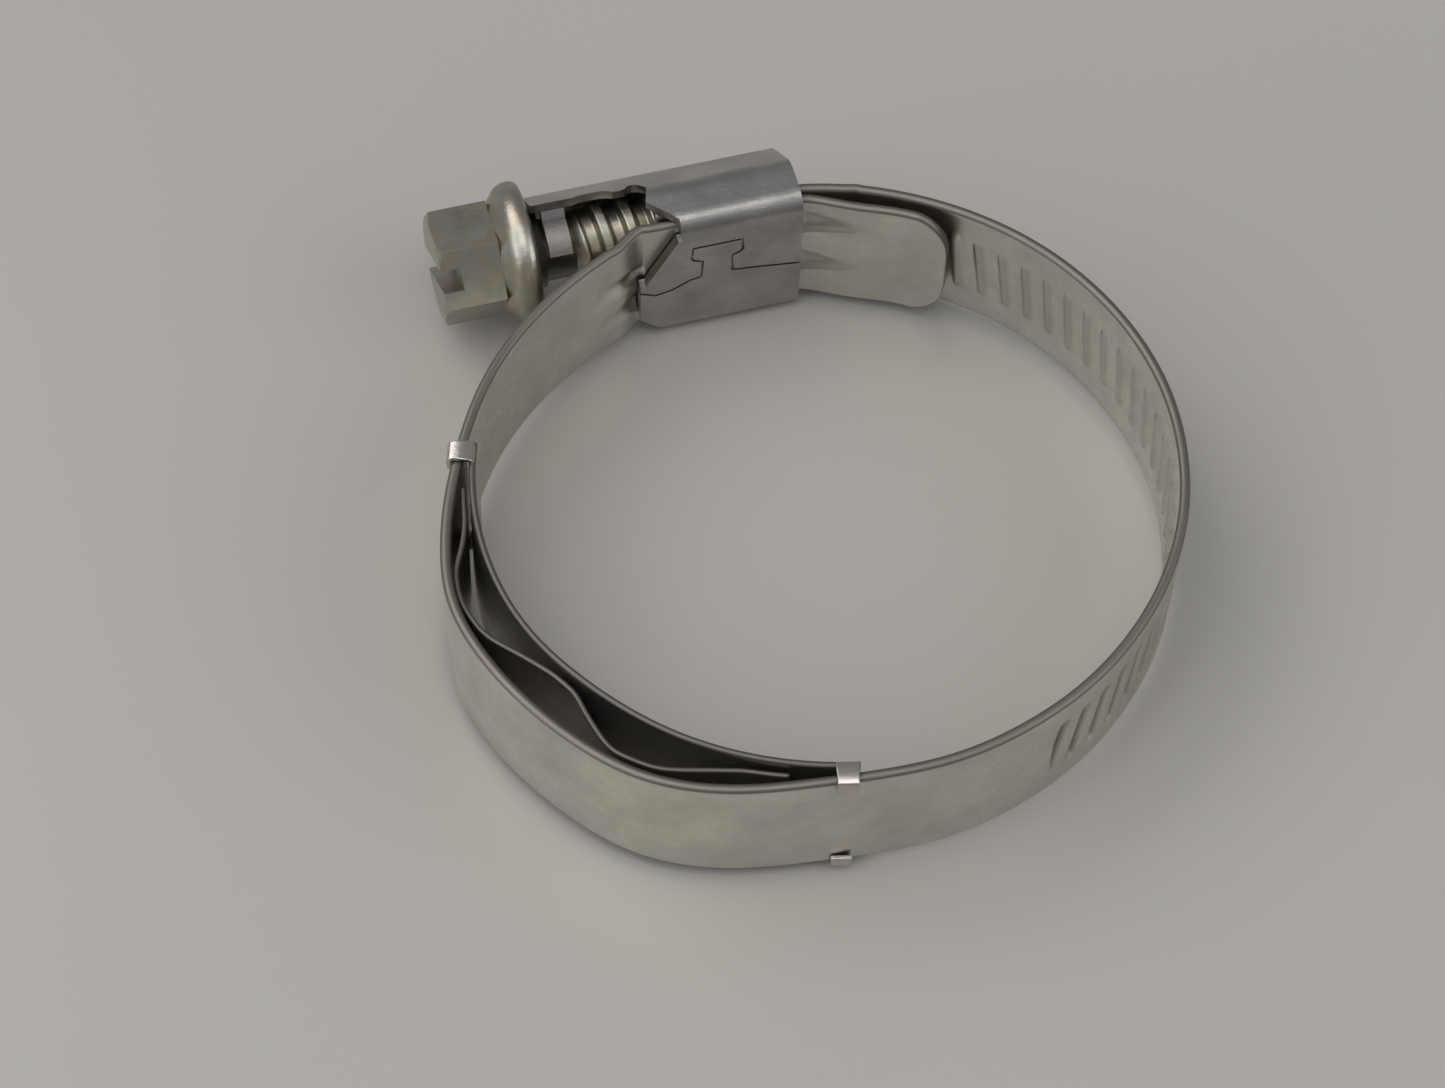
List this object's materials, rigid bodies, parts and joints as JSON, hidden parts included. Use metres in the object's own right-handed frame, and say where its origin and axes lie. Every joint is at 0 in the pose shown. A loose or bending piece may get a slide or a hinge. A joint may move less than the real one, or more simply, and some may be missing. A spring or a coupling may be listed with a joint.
{
  "type": "worm-drive hose clamp",
  "caption": "A steel worm-drive hose clamp with a slotted hex screw and a wave spring liner clipped inside its band.",
  "frame": {"origin": "centre of the bottom of the clamp's box", "axes": "X along the screw, its head at -X; Y outward at the housing; Z along the ring's axis, up"},
  "size_m": [0.0564, 0.06, 0.014],
  "materials": {
    "band_steel": "satin stainless strip",
    "housing_steel": "smooth pressed stainless",
    "screw_steel": "zinc plated steel",
    "spring_steel": "stainless spring strip"
  },
  "bodies": {
    "clamp_body": {"housing": "housing_steel", "band_fixed_run": "band_steel", "spring_liner": "spring_steel", "wave_spring": "spring_steel"},
    "screw": {"worm_screw": "screw_steel"},
    "closing_run": {"band_closing_run": "band_steel"},
    "threaded_tail": {"band_threaded_tail": "band_steel"}
  },
  "joints": [
    {"name": "screw_turn", "type": "hinge", "parent": "clamp_body", "child": "screw", "pos_m": [0, 0.02444, 0.007], "axis": [1, 0, 0], "range_deg": [-1080, 90]},
    {"name": "band_flex_front", "type": "hinge", "parent": "clamp_body", "child": "closing_run", "pos_m": [0.01306, -0.02627, 0.007], "axis": [0, 0, 1], "range_deg": [-7.9, 0.8]},
    {"name": "band_flex_tail", "type": "hinge", "parent": "closing_run", "child": "threaded_tail", "pos_m": [0.00999, 0.02018, 0.007], "axis": [0, 0, 1], "range_deg": [-0.8, 7.9]}
  ],
  "couplings": [
    {"joint": "band_flex_front", "follows": "screw_turn", "ratio": 0.0071946},
    {"joint": "band_flex_tail", "follows": "screw_turn", "ratio": -0.0071946}
  ]
}
